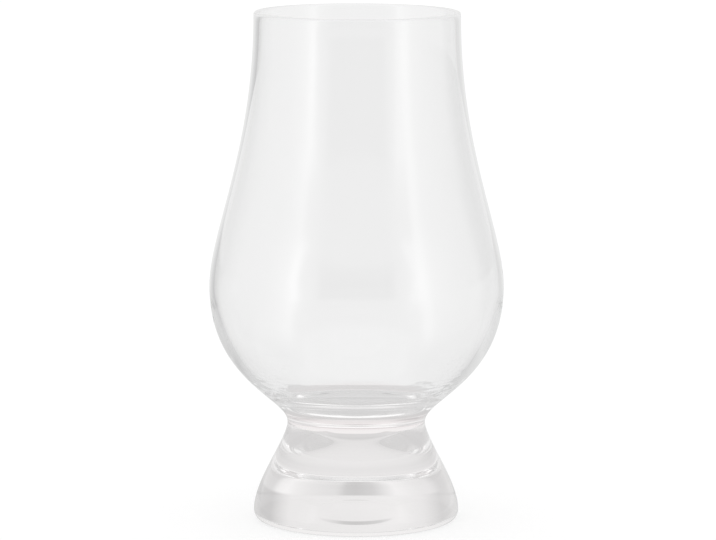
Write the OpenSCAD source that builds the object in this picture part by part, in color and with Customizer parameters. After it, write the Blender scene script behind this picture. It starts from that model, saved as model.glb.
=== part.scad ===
// Nosing glass: a blown bowl fused hot to a pressed solid foot.
// Lengths are in millimetres. The origin is on the table under the middle of the glass, with Z up.

/* [Whole glass] */
// Height from the table to the top of the lip
glass_h = 115; // [98:1:135]

/* [Bowl] */
// Outer diameter of the bulb where it is widest
bulb_d = 66.4; // [56:0.2:80]
// Height of the bulb's widest place above the table
bulb_z = 53; // [45:0.5:62]
// Outer diameter of the chimney at the lip
lip_d = 46.4; // [38:0.2:54]
// Wall thickness at the lip, which is a full half round
lip_wall = 1.3; // [0.8:0.1:2.4]
// Wall thickness at the bulb's widest place
bulb_wall = 1.05; // [0.9:0.05:2.4]
// Thickness of the bottom, from the fused joint up to the floor of the inside
bottom_h = 4.9; // [3:0.1:9]
// Radius of the flat middle of the floor inside
floor_r = 11; // [6:0.5:14]

/* [Foot] */
// Height of the fused joint above the table, at the narrowest place of the neck
neck_z = 22; // [16:0.5:28]
// Diameter of the neck
neck_d = 31.2; // [24:0.2:40]
// Outer diameter of the foot where it is widest
foot_d = 46.4; // [42:0.2:60]
// Height of the foot's widest place above the table
edge_h = 1.9; // [1:0.1:4]
// How far the rounded edge draws in between the widest place and the table
edge_w = 1.4; // [0.5:0.1:3]
// Width of the flat ring that the glass stands on
ring_w = 7.6; // [2:0.1:12]
// Depth of the shallow hollow inside the ring
hollow_h = 0.4; // [0.2:0.1:2]

/* [Hidden] */

// How far each round stretch runs straight on from its end before it turns, as a share of the
// stretch's own height or width. The larger the share, the fuller the curve is at that end.
flare_low_share = 0.31;
flare_high_share = 0.20;
bulb_low_share = 0.19;
bulb_high_share = 0.69;
chimney_low_share = 0.20;
chimney_high_share = 0.50;
floor_share = 0.48;
inner_bulb_share = 0.38;
hollow_share = 0.76;
// The same for a quarter of an ellipse
quarter_share = 0.55;

bulb_r = bulb_d / 2;
lip_r = lip_d / 2;
lip_round = lip_wall / 2;
lip_z = glass_h - lip_round;
neck_r = neck_d / 2;
foot_r = foot_d / 2;
ring_r = foot_r - edge_w;
hollow_r = ring_r - ring_w;
inner_bulb_r = bulb_r - bulb_wall;
inner_lip_r = lip_r - lip_wall;
floor_z = neck_z + bottom_h;

// Straight pieces in a long curve, in a short one, and round the lip
long_steps = 28;
short_steps = 8;
lip_steps = 10;
$fn = 120;

bowl_colour = [0.93, 0.94, 0.94, 0.4];
foot_colour = [0.93, 0.90, 0.91, 0.6];

// A point of the curve that leaves a towards a_pull and arrives at b from b_pull
function curve_point(a, a_pull, b_pull, b, t) =
    pow(1 - t, 3) * a + 3 * pow(1 - t, 2) * t * a_pull + 3 * (1 - t) * t * t * b_pull + pow(t, 3) * b;

// The curve's points after a, up to b
function curve(a, a_pull, b_pull, b, steps) =
    [for (i = [1 : steps]) curve_point(a, a_pull, b_pull, b, i / steps)];

// A curve that is upright at both ends, from a up or down to b
function upright(a, a_share, b_share, b, steps) =
    let (rise = b.y - a.y)
    curve(a, a + [0, a_share * rise], b - [0, b_share * rise], b, steps);

// Outside of the foot, from the flat ring up to the fused joint
function foot_outside() = let (
    ring = [ring_r, 0],
    widest = [foot_r, edge_h],
    neck = [neck_r, neck_z]
) concat(
    [ring],
    curve(ring, ring + [quarter_share * edge_w, 0], widest - [0, quarter_share * edge_h], widest,
        short_steps),
    upright(widest, flare_low_share, flare_high_share, neck, long_steps)
);

// Underside of the foot, from the middle out to the flat ring
function foot_hollow() = let (
    middle = [0, hollow_h],
    rim = [hollow_r, 0],
    pull = [hollow_share * hollow_r, 0]
) concat([middle], curve(middle, middle + pull, rim - pull, rim, long_steps));

// Outside of the bowl, from the fused joint up to where the lip starts to round over
function bowl_outside() = let (
    neck = [neck_r, neck_z],
    widest = [bulb_r, bulb_z],
    lip = [lip_r, lip_z]
) concat(
    [neck],
    upright(neck, bulb_low_share, bulb_high_share, widest, long_steps),
    upright(widest, chimney_low_share, chimney_high_share, lip, long_steps)
);

// The lip's half round, between the outside and the inside of the wall
function lip_over() = [for (i = [1 : lip_steps - 1])
    let (turn = 180 * i / lip_steps)
    [lip_r - lip_round + lip_round * cos(turn), lip_z + lip_round * sin(turn)]
];

// Inside of the bowl, from the lip down to the middle of the floor
function bowl_inside() = let (
    lip = [inner_lip_r, lip_z],
    widest = [inner_bulb_r, bulb_z],
    floor_edge = [floor_r, floor_z],
    down = [0, inner_bulb_share * (bulb_z - floor_z)],
    out = [floor_share * (inner_bulb_r - floor_r), 0]
) concat(
    [lip],
    upright(lip, chimney_high_share, chimney_low_share, widest, long_steps),
    curve(widest, widest - down, floor_edge + out, floor_edge, long_steps),
    [[0, floor_z]]
);

module bowl() {
    color(bowl_colour)
    rotate_extrude()
        polygon(concat([[0, neck_z]], bowl_outside(), lip_over(), bowl_inside()));
}

module foot() {
    color(foot_colour)
    rotate_extrude()
        polygon(concat(foot_hollow(), foot_outside(), [[0, neck_z]]));
}

bowl();
foot();
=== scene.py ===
"""Nosing glass: a blown bowl fused to a pressed foot, on a white studio floor. Lengths are in metres."""

import math

import bmesh
import bpy
from mathutils import Matrix, Vector


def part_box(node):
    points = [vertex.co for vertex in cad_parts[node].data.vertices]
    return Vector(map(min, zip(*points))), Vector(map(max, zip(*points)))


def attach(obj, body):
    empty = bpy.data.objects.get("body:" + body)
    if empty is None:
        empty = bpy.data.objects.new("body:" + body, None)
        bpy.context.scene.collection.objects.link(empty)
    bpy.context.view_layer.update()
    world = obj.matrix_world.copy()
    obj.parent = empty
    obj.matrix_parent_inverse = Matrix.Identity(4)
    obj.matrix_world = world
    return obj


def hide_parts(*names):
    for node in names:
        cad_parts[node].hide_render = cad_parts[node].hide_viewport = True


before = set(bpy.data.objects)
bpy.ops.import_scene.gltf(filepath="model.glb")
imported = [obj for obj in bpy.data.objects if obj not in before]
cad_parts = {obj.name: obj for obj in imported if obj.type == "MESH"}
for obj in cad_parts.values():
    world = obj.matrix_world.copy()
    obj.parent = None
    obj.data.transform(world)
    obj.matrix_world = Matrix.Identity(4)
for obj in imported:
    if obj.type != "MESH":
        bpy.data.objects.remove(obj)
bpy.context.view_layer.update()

MM = 0.001
WHITE = (1.0, 1.0, 1.0, 1.0)

# Sizes of the profile, of which the outermost come from the frame
bowl_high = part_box("bowl")[1]
foot_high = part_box("foot")[1]
GLASS_H = bowl_high.z
NECK_Z = foot_high.z
BULB_R = bowl_high.x
FOOT_R = foot_high.x
BULB_Z = 53.0 * MM
LIP_R = 23.2 * MM
LIP_WALL = 1.3 * MM
LIP_Z = GLASS_H - LIP_WALL / 2
BULB_WALL = 1.1 * MM
BOTTOM_H = 4.8 * MM
INNER_FLOOR_R = 10.5 * MM
NECK_R = 15.6 * MM
EDGE_H = 1.9 * MM
EDGE_W = 1.4 * MM
RING_W = 7.6 * MM
HOLLOW_H = 0.4 * MM

# How far each round stretch runs straight on from its end before it turns
FLARE_SHARES = (0.31, 0.20)
BULB_SHARES = (0.19, 0.69)
CHIMNEY_SHARES = (0.20, 0.50)
INNER_FLOOR_SHARE = 0.47
INNER_BULB_SHARE = 0.51
HOLLOW_SHARE = 0.76
QUARTER_SHARE = 0.55

# Straight pieces in a long curve, round the lip or the foot's edge, and round the glass
CURVE_STEPS = 64
LIP_STEPS = 16
TURN_STEPS = 192
# Points closer than this are one point
SAME_PLACE = 0.001 * MM

# The glass itself: its bending of light, and its tint where it is thin and where it is thick
GLASS_IOR = 1.52
BOWL_TINT = (0.99, 0.99, 0.99, 1.0)
BOTTOM_TINT = (0.995, 0.945, 0.945, 1.0)
FOOT_TINT = (0.99, 0.973, 0.971, 1.0)
# Heights between which the bottom's tint gives way to the bowl's
BOTTOM_TINT_ENDS = (25.0 * MM, 26.6 * MM)

# Faint ripples all over the glass
BOWL_RIPPLE = 14 * MM
FOOT_RIPPLE = 9 * MM
RIPPLE_DEPTH = 0.02 * MM

# Streaks that lie flat round the hot-worked bottom of the bowl, on its left and right sides
STREAK_LENGTH = 11 * MM
STREAK_FLATNESS = 4.0
STREAK_DEPTH = 0.45 * MM
STREAK_SIDES = (11 * MM, 18 * MM)
STREAKS_FROM = (18 * MM, 24 * MM)
STREAKS_TO = (37 * MM, 31 * MM)

# How many mirrorings inside the wall count as running round it
RUN_ROUND_MIRRORINGS = (7, 13)

# The floor as it is seen directly
STUDIO_FLOOR_R = 3.0
FLOOR_Z = -0.05 * MM
FLOOR_COLOUR = (0.3, 0.3, 0.3, 1.0)
FLOOR_GLOW = 0.74

# The floor through the glass, at painted levels that give a painted shade under and near the foot: shares
# of the reach out from the middle, and the level there
FLOOR_REACH = 100 * MM
PAINTED_FLOOR_THROUGH_GLASS = (
    (0, 0.57),
    (0.225, 0.57),
    (0.235, 0.70),
    (0.255, 0.76),
    (0.265, 0.80),
    (0.285, 0.83),
    (0.31, 0.84),
    (0.36, 0.915),
    (1, 0.915),
)
# A painted soft shadow that lies behind the foot and shows through it
SHADE_HALF_WIDTH = 16 * MM
SHADE_START = 31.5 * MM
SHADE_END = 52 * MM
SHADE_BEND = 0.065 / MM
SHADE_EDGE = 2 * MM
SHADE_DEPTH = 0.20

# The floor as the glass mirrors it, glowing at painted levels: a painted shade under the glass, and levels
# near it, far from it, and from inside the wall
UNDER_GLASS = 26 * MM
CLEAR_OF_GLASS = 34 * MM
PAINTED_UNDER_GLASS_LEVEL = 0.66
NEAR_FLOOR = 60 * MM
FAR_FLOOR = 110 * MM
RUN_ROUND_FLOOR_LEVEL = 0.85
# Degrees round from the front of the room, positive to the right, and the near floor's painted level
FLOOR_AROUND = (
    (-180, 0.83),
    (-168, 0.80),
    (-155, 0.66),
    (-125, 0.66),
    (-105, 0.66),
    (-60, 0.65),
    (-48, 0.78),
    (-30, 0.63),
    (30, 0.63),
    (48, 0.78),
    (60, 0.65),
    (105, 0.66),
    (125, 0.62),
    (155, 0.62),
    (168, 0.80),
    (180, 0.83),
)
# The same for the far floor, which carries a painted sheen of the two light panels
FAR_FLOOR_AROUND = (
    (-180, 0.84),
    (-164, 0.84),
    (-156, 0.70),
    (-150, 0.60),
    (-140, 0.57),
    (-134, 0.64),
    (-128, 0.76),
    (-104, 0.84),
    (-84, 0.88),
    (-72, 0.94),
    (-63, 1.03),
    (-57, 1.20),
    (-52, 1.35),
    (-49, 1.30),
    (-46, 0.95),
    (-42, 0.78),
    (-34, 0.68),
    (-28, 0.64),
    (28, 0.64),
    (36, 0.70),
    (43, 0.82),
    (48, 0.95),
    (51, 1.30),
    (56, 1.35),
    (62, 1.00),
    (70, 0.88),
    (86, 0.78),
    (104, 0.80),
    (140, 0.78),
    (152, 0.72),
    (164, 0.84),
    (180, 0.84),
)

# The backdrop through the glass is a little dimmer than white, and more so above these degrees
THROUGH_GLASS_DIMMING = 0.085
HIGH_BACKDROP = (12, 18)
HIGH_DIMMING = 0.22

# The room up to the top of the panels, at the same degrees round
ROOM_AROUND = (
    (-180, 0.85),
    (-165, 0.88),
    (-150, 0.84),
    (-142, 0.76),
    (-134, 0.68),
    (-120, 0.74),
    (-84, 0.87),
    (-72, 0.94),
    (-63, 1.05),
    (-57, 1.20),
    (-52, 1.38),
    (-49, 1.32),
    (-46, 0.98),
    (-42, 0.82),
    (-34, 0.70),
    (-28, 0.62),
    (28, 0.62),
    (36, 0.72),
    (43, 0.84),
    (48, 0.95),
    (51, 1.32),
    (56, 1.38),
    (62, 1.02),
    (70, 0.88),
    (86, 0.74),
    (104, 0.67),
    (120, 0.62),
    (134, 0.61),
    (141, 0.72),
    (150, 0.85),
    (180, 0.85),
)
# The room over the panels, and by degrees above level how far it has taken over
CEILING_AROUND = (
    (-180, 0.60),
    (-173, 0.66),
    (-168, 0.80),
    (-163, 0.92),
    (-150, 0.84),
    (-140, 0.82),
    (-130, 0.70),
    (-60, 0.82),
    (60, 0.82),
    (130, 0.72),
    (137, 0.90),
    (145, 0.95),
    (152, 0.88),
    (160, 0.82),
    (172, 0.76),
    (176, 0.62),
    (180, 0.60),
)
CEILING_RISE = (
    (0, 0.0),
    (21, 0.0),
    (22.5, 1.0),
)
# How many degrees lower it starts at the back of the room than at its sides
CEILING_SLANT = 4.0
# Straight overhead
TOP_LEVEL = 1.08
TOP_RISE = (
    (0, 0.0),
    (50, 0.0),
    (58, 1.0),
)
# A low dark block between the panels: what it takes off round the room, and by degrees above level
BLOCK_AROUND = (
    (-180, 0.0),
    (-32, 0.0),
    (-29, 0.18),
    (29, 0.18),
    (32, 0.0),
    (180, 0.0),
)
BLOCK_RISE = (
    (0, 1.0),
    (16, 1.0),
    (18, 0.0),
    (90, 0.0),
)
# The level of what has run round inside the wall, and its rise between these degrees above level
RUN_ROUND_LEVEL = 0.72
RUN_ROUND_RISE = 0.20
RUN_ROUND_RISE_ENDS = (10, 20)

# The long lens, its place and aim, and its small roll in degrees
LENS = 197.5
LENS_PLACE = Vector((0, -876 * MM, 186 * MM))
LENS_AIM = Vector((0.31 * MM, 0, 56.6 * MM))
LENS_ROLL = 0.15

# Light can run round inside the thin wall for a hundred mirrorings and more before it gets out
MIRRORINGS = 1024
CROSSINGS = 40


# A profile's points say how far out from the axis they are, and how high
def curve(a, a_pull, b_pull, b, steps=CURVE_STEPS):
    """The points after a of the curve that leaves a towards a_pull and arrives at b from b_pull."""
    points = []
    for step in range(1, steps + 1):
        t = step / steps
        s = 1 - t
        points.append(s**3 * a + 3 * s * s * t * a_pull + 3 * s * t * t * b_pull + t**3 * b)
    return points


def upright(a, shares, b):
    """A curve that is upright at both ends."""
    rise = b.y - a.y
    return curve(a, a + Vector((0, shares[0] * rise)), b - Vector((0, shares[1] * rise)), b)


def foot_outside():
    """From the standing ring, round the edge and up the flare to the joint."""
    ring = Vector((FOOT_R - EDGE_W, 0))
    widest = Vector((FOOT_R, EDGE_H))
    neck = Vector((NECK_R, NECK_Z))
    edge = curve(
        ring,
        ring + Vector((QUARTER_SHARE * EDGE_W, 0)),
        widest - Vector((0, QUARTER_SHARE * EDGE_H)),
        widest,
        LIP_STEPS,
    )
    return [ring, *edge, *upright(widest, FLARE_SHARES, neck)]


def foot_hollow():
    """The shallow hollow underneath, from its middle out to the standing ring."""
    middle = Vector((0, HOLLOW_H))
    rim = Vector((FOOT_R - EDGE_W - RING_W, 0))
    pull = Vector((HOLLOW_SHARE * rim.x, 0))
    return [middle, *curve(middle, middle + pull, rim - pull, rim)]


def bowl_outside():
    """From the joint up round the bulb and the chimney to the lip."""
    neck = Vector((NECK_R, NECK_Z))
    widest = Vector((BULB_R, BULB_Z))
    lip = Vector((LIP_R, LIP_Z))
    return [neck, *upright(neck, BULB_SHARES, widest), *upright(widest, CHIMNEY_SHARES, lip)]


def lip_over():
    """The half round of the lip, between the outside and the inside of the wall."""
    points = []
    for step in range(1, LIP_STEPS):
        turn = math.pi * step / LIP_STEPS
        across = LIP_R - LIP_WALL / 2 + LIP_WALL / 2 * math.cos(turn)
        points.append(Vector((across, LIP_Z + LIP_WALL / 2 * math.sin(turn))))
    return points


def bowl_inside():
    """From the lip down inside the wall to the middle of the floor."""
    lip = Vector((LIP_R - LIP_WALL, LIP_Z))
    widest = Vector((BULB_R - BULB_WALL, BULB_Z))
    floor_edge = Vector((INNER_FLOOR_R, NECK_Z + BOTTOM_H))
    down = Vector((0, INNER_BULB_SHARE * (BULB_Z - floor_edge.y)))
    out = Vector((INNER_FLOOR_SHARE * (widest.x - INNER_FLOOR_R), 0))
    return [
        lip,
        *upright(lip, CHIMNEY_SHARES[::-1], widest),
        *curve(widest, widest - down, floor_edge + out, floor_edge),
        Vector((0, floor_edge.y)),
    ]


def turned(name, profile):
    """Spins a profile round the upright axis, and gives the flat joint face its own material slot."""
    mesh = bmesh.new()
    ring = [mesh.verts.new((point.x, 0, point.y)) for point in profile]
    edges = [mesh.edges.new(pair) for pair in zip(ring, ring[1:])]
    bmesh.ops.spin(
        mesh,
        geom=ring + edges,
        cent=(0, 0, 0),
        axis=(0, 0, 1),
        angle=math.tau,
        steps=TURN_STEPS,
        use_merge=True,
    )
    bmesh.ops.remove_doubles(mesh, verts=mesh.verts, dist=SAME_PLACE)
    bmesh.ops.recalc_face_normals(mesh, faces=mesh.faces)
    for face in mesh.faces:
        at_joint = all(abs(vert.co.z - NECK_Z) < SAME_PLACE for vert in face.verts)
        face.smooth = not at_joint
        face.material_index = 1 if at_joint else 0
    for edge in mesh.edges:
        kinds = {face.material_index for face in edge.link_faces}
        edge.smooth = len(kinds) == 1
    return placed(name, mesh)


def placed(name, mesh):
    """Puts a finished mesh into the scene as an object of its own."""
    data = bpy.data.meshes.new(name)
    mesh.to_mesh(data)
    mesh.free()
    piece = bpy.data.objects.new(name, data)
    bpy.context.collection.objects.link(piece)
    return piece


class Socket:
    """A node's output. Sums and products of sockets and numbers add Math nodes."""

    def __init__(self, nodes, output):
        self.nodes = nodes
        self.output = output

    def __add__(self, other):
        return self.nodes.math("ADD", self, other)

    def __sub__(self, other):
        return self.nodes.math("SUBTRACT", self, other)

    def __rsub__(self, other):
        return self.nodes.math("SUBTRACT", other, self)

    def __mul__(self, other):
        return self.nodes.math("MULTIPLY", self, other)

    def __truediv__(self, other):
        return self.nodes.math("DIVIDE", self, other)

    def __rtruediv__(self, other):
        return self.nodes.math("DIVIDE", other, self)

    __radd__ = __add__
    __rmul__ = __mul__


class Nodes:
    """The node tree of a material or of the world."""

    def __init__(self, tree):
        self.tree = tree
        tree.nodes.clear()

    def add(self, kind, settings=None, values=None, out=0):
        """A node with its settings, or a ramp's grey stops, and then its sockets' values and links."""
        node = self.tree.nodes.new(kind)
        for name, setting in (settings or {}).items():
            if name == "stops":
                set_stops(node.color_ramp, setting)
            else:
                setattr(node, name, setting)
        for key, value in (values or {}).items():
            if isinstance(value, Socket):
                self.tree.links.new(value.output, node.inputs[key])
            else:
                node.inputs[key].default_value = value
        return Socket(self, node.outputs[out]) if node.outputs else None

    def math(self, operation, *values):
        return self.add("ShaderNodeMath", {"operation": operation}, dict(enumerate(values)))

    def axes(self, vector):
        """The three parts of a vector, from one node."""
        parts = self.add("ShaderNodeSeparateXYZ", values={"Vector": vector}).output.node
        return [Socket(self, output) for output in parts.outputs]

    def smooth_step(self, value, start, end):
        """0 before start and 1 after end, with a soft change between them."""
        settings = {"interpolation_type": "SMOOTHSTEP"}
        values = {"Value": value, "From Min": start, "From Max": end}
        return self.add("ShaderNodeMapRange", settings, values)

    def ramp(self, value, stops):
        return self.add("ShaderNodeValToRGB", {"stops": stops}, {"Fac": value})


def set_stops(ramp, stops):
    """Gives a ramp the stops (place, level), the first and last of which it already has."""
    for place, level in stops[1:-1]:
        ramp.elements.new(place)
    for element, (place, level) in zip(ramp.elements, stops):
        element.position = place
        element.color = (level, level, level, 1.0)


def material(name):
    made = bpy.data.materials.new(name)
    made.use_nodes = True
    return made, Nodes(made.node_tree)


def streaks(nodes, place):
    """How far the streaks stand out, on the sides of the bowl's hot-worked bottom."""
    flat_place = nodes.add(
        "ShaderNodeMapping",
        values={"Vector": place, "Scale": (1.0, 1.0, STREAK_FLATNESS)},
    )
    streak = nodes.add(
        "ShaderNodeTexNoise",
        values={"Vector": flat_place, "Scale": 1 / STREAK_LENGTH, "Detail": 2.0, "Roughness": 0.5},
    )
    sideways, _, height = nodes.axes(place)
    worked = nodes.smooth_step(height, *STREAKS_FROM) * nodes.smooth_step(height, *STREAKS_TO)
    worked = worked * nodes.smooth_step(nodes.math("ABSOLUTE", sideways), *STREAK_SIDES)
    return worked * streak * STREAK_DEPTH


def bowl_tint(nodes, place):
    """Clear in the thin wall, and rose-grey where the bottom is thick."""
    height = nodes.axes(place)[2]
    return nodes.add(
        "ShaderNodeMix",
        {"data_type": "RGBA"},
        {"Factor": nodes.smooth_step(height, *BOTTOM_TINT_ENDS), "A": BOTTOM_TINT, "B": BOWL_TINT},
        out="Result",
    )


def glass(name, ripple_size, tint):
    """Clear fire-polished glass with faint ripples, and streaks round the bowl's thick bottom.

    The tint is a colour, or a function that changes it from place to place.
    """
    made, nodes = material(name)
    place = nodes.add("ShaderNodeTexCoord", out="Object")
    ripple = nodes.add(
        "ShaderNodeTexNoise",
        values={"Vector": place, "Scale": 1 / ripple_size, "Detail": 1.5, "Roughness": 0.4},
    )
    bump = nodes.add(
        "ShaderNodeBump",
        values={
            "Height": ripple * RIPPLE_DEPTH + streaks(nodes, place),
            "Distance": 1.0,
            "Strength": 1.0,
        },
    )
    surface = nodes.add(
        "ShaderNodeBsdfPrincipled",
        values={
            "Base Color": tint(nodes, place) if callable(tint) else tint,
            "Roughness": 0.0,
            "IOR": GLASS_IOR,
            "Transmission Weight": 1.0,
            "Normal": bump,
        },
    )
    nodes.add("ShaderNodeOutputMaterial", values={"Surface": surface})
    return made


def fused_joint():
    """Where the bowl and the foot are one glass, nothing shows."""
    made, nodes = material("fused_joint")
    clear = nodes.add("ShaderNodeBsdfTransparent", values={"Color": WHITE})
    nodes.add("ShaderNodeOutputMaterial", values={"Surface": clear})
    return made


def mirrorings(nodes):
    """How often the light has been mirrored on its way, inside the glass too."""
    return nodes.add("ShaderNodeLightPath", out="Glossy Depth")


def seen_straight(nodes):
    """1 for what is seen directly or straight through the glass, and 0 after any mirroring."""
    return 1.0 - nodes.math("MINIMUM", mirrorings(nodes), 1.0)


def run_round(nodes):
    """1 for what has run round inside the wall of the bowl, mirrored many times."""
    return nodes.smooth_step(mirrorings(nodes), *RUN_ROUND_MIRRORINGS)


def seen_through(nodes):
    """1 for what shows through the glass, and 0 for what is seen directly."""
    return nodes.add("ShaderNodeLightPath", out="Is Transmission Ray")


def distance(nodes, x, y):
    return nodes.math("SQRT", x * x + y * y)


def around(nodes, x, y, stops):
    """The level at a place or direction, from stops of degrees round from the front and level."""
    turn = nodes.math("ARCTAN2", x, y * -1.0) * (0.5 / math.pi) + 0.5
    return nodes.ramp(turn, [(degrees / 360 + 0.5, level) for degrees, level in stops])


def rising(nodes, elevation, stops):
    """The level at an elevation, where 1 is straight up, from stops of degrees above level."""
    return nodes.ramp(elevation, [(degrees / 90, level) for degrees, level in stops])


def change(base, share, level):
    """The base, changed towards the level by a share from 0 to 1."""
    return base + share * (level - base)


def painted_shade_behind(nodes, x, y):
    """1 in the painted soft shadow behind the foot, whose far end bends away at its sides."""
    sideways = nodes.math("ABSOLUTE", x)
    bent = y - x * x * SHADE_BEND
    across = nodes.smooth_step(sideways, SHADE_HALF_WIDTH + SHADE_EDGE, SHADE_HALF_WIDTH - SHADE_EDGE)
    near_end = nodes.smooth_step(y, SHADE_START - SHADE_EDGE, SHADE_START + SHADE_EDGE)
    far_end = nodes.smooth_step(bent, SHADE_END + SHADE_EDGE, SHADE_END - SHADE_EDGE)
    return across * near_end * far_end


def white_floor():
    """Pale floor that shows white where the light reaches it, and keeps the glass's soft shadow when seen
    directly; through the glass and in its mirrorings it glows at painted levels, with painted shade and a
    painted sheen.
    """
    made, nodes = material("white_floor")
    x, y, _ = nodes.axes(nodes.add("ShaderNodeTexCoord", out="Object"))
    away = distance(nodes, x, y)

    painted = nodes.add("ShaderNodeBsdfDiffuse", values={"Color": FLOOR_COLOUR})
    glow = nodes.add("ShaderNodeEmission", values={"Color": WHITE, "Strength": FLOOR_GLOW})
    open_floor = nodes.add("ShaderNodeAddShader", values={0: painted, 1: glow})

    # Through the glass the floor glows at painted levels: painted shade under and near the foot, and a
    # painted shadow behind it
    level = nodes.ramp(away * (1 / FLOOR_REACH), PAINTED_FLOOR_THROUGH_GLASS)
    level = level - SHADE_DEPTH * painted_shade_behind(nodes, x, y)
    through = nodes.add("ShaderNodeEmission", values={"Color": WHITE, "Strength": level})

    # In the glass's mirrorings the floor glows at painted levels: painted shade under the glass, and a
    # painted sheen of the two panels on the far floor
    far = nodes.smooth_step(away, NEAR_FLOOR, FAR_FLOOR)
    clear = nodes.smooth_step(away, UNDER_GLASS, CLEAR_OF_GLASS)
    level = around(nodes, x, y, FLOOR_AROUND)
    level = change(level, far, around(nodes, x, y, FAR_FLOOR_AROUND))
    level = change(PAINTED_UNDER_GLASS_LEVEL, clear, level)
    level = change(level, run_round(nodes), RUN_ROUND_FLOOR_LEVEL)
    mirrored = nodes.add("ShaderNodeEmission", values={"Color": WHITE, "Strength": level})

    pale = nodes.add("ShaderNodeMixShader", values={0: seen_through(nodes), 1: open_floor, 2: through})
    surface = nodes.add("ShaderNodeMixShader", values={0: seen_straight(nodes), 1: mirrored, 2: pale})
    nodes.add("ShaderNodeOutputMaterial", values={"Surface": surface})
    return made


def studio_world():
    """A white backdrop, and for what mirrors it two soft light panels with a dimmer front between them."""
    world = bpy.data.worlds.new("studio")
    bpy.context.scene.world = world
    world.use_nodes = True
    nodes = Nodes(world.node_tree)
    x, y, z = nodes.axes(nodes.add("ShaderNodeTexCoord", out="Generated"))
    flat = distance(nodes, x, y)
    elevation = nodes.math("ARCTAN2", z, flat) * (2 / math.pi)
    slanted = elevation + y / flat * (CEILING_SLANT / 90)

    room = around(nodes, x, y, ROOM_AROUND)
    room = change(room, rising(nodes, slanted, CEILING_RISE), around(nodes, x, y, CEILING_AROUND))
    room = change(room, rising(nodes, elevation, TOP_RISE), TOP_LEVEL)
    room = room - around(nodes, x, y, BLOCK_AROUND) * rising(nodes, elevation, BLOCK_RISE)

    low, high = (degrees / 90 for degrees in RUN_ROUND_RISE_ENDS)
    inside_wall = RUN_ROUND_LEVEL + nodes.smooth_step(elevation, low, high) * RUN_ROUND_RISE
    room = change(room, run_round(nodes), inside_wall)

    low, high = (degrees / 90 for degrees in HIGH_BACKDROP)
    dimming = THROUGH_GLASS_DIMMING + nodes.smooth_step(elevation, low, high) * HIGH_DIMMING
    backdrop = 1.0 - seen_through(nodes) * dimming
    strength = change(room, seen_straight(nodes), backdrop)
    surface = nodes.add("ShaderNodeBackground", values={"Color": WHITE, "Strength": strength})
    nodes.add("ShaderNodeOutputWorld", values={"Surface": surface})


def studio_floor():
    mesh = bmesh.new()
    bmesh.ops.create_circle(mesh, cap_ends=True, segments=64, radius=STUDIO_FLOOR_R)
    bmesh.ops.translate(mesh, verts=mesh.verts, vec=(0, 0, FLOOR_Z))
    floor = placed("floor", mesh)
    floor.data.materials.append(white_floor())


def glass_pieces():
    """The bowl and the foot, which meet face to face at the fused joint."""
    joint_middle = Vector((0, NECK_Z))
    bowl = turned("blown_bowl", [joint_middle, *bowl_outside(), *lip_over(), *bowl_inside()])
    foot = turned("pressed_foot", [*foot_hollow(), *foot_outside(), joint_middle])
    joint_clear = fused_joint()
    for piece, node, glass_material in (
        (bowl, "bowl", glass("bowl_glass", BOWL_RIPPLE, bowl_tint)),
        (foot, "foot", glass("foot_glass", FOOT_RIPPLE, FOOT_TINT)),
    ):
        piece.data.materials.append(glass_material)
        piece.data.materials.append(joint_clear)
        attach(piece, "root")
        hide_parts(node)


def camera():
    """A long lens a little above the glass, as the photograph was taken."""
    data = bpy.data.cameras.new("camera")
    data.sensor_width = 36.0
    data.lens = LENS
    view = bpy.data.objects.new("camera", data)
    bpy.context.collection.objects.link(view)
    view.location = LENS_PLACE
    turn = (LENS_AIM - LENS_PLACE).to_track_quat("-Z", "Y").to_matrix()
    roll = Matrix.Rotation(math.radians(LENS_ROLL), 3, "Z")
    view.rotation_euler = (turn @ roll).to_euler()
    bpy.context.scene.camera = view


studio_world()
studio_floor()
glass_pieces()
camera()

scene = bpy.context.scene
scene.view_settings.view_transform = "Standard"
scene.cycles.max_bounces = MIRRORINGS
scene.cycles.glossy_bounces = MIRRORINGS
scene.cycles.transmission_bounces = CROSSINGS
scene.cycles.transparent_max_bounces = CROSSINGS
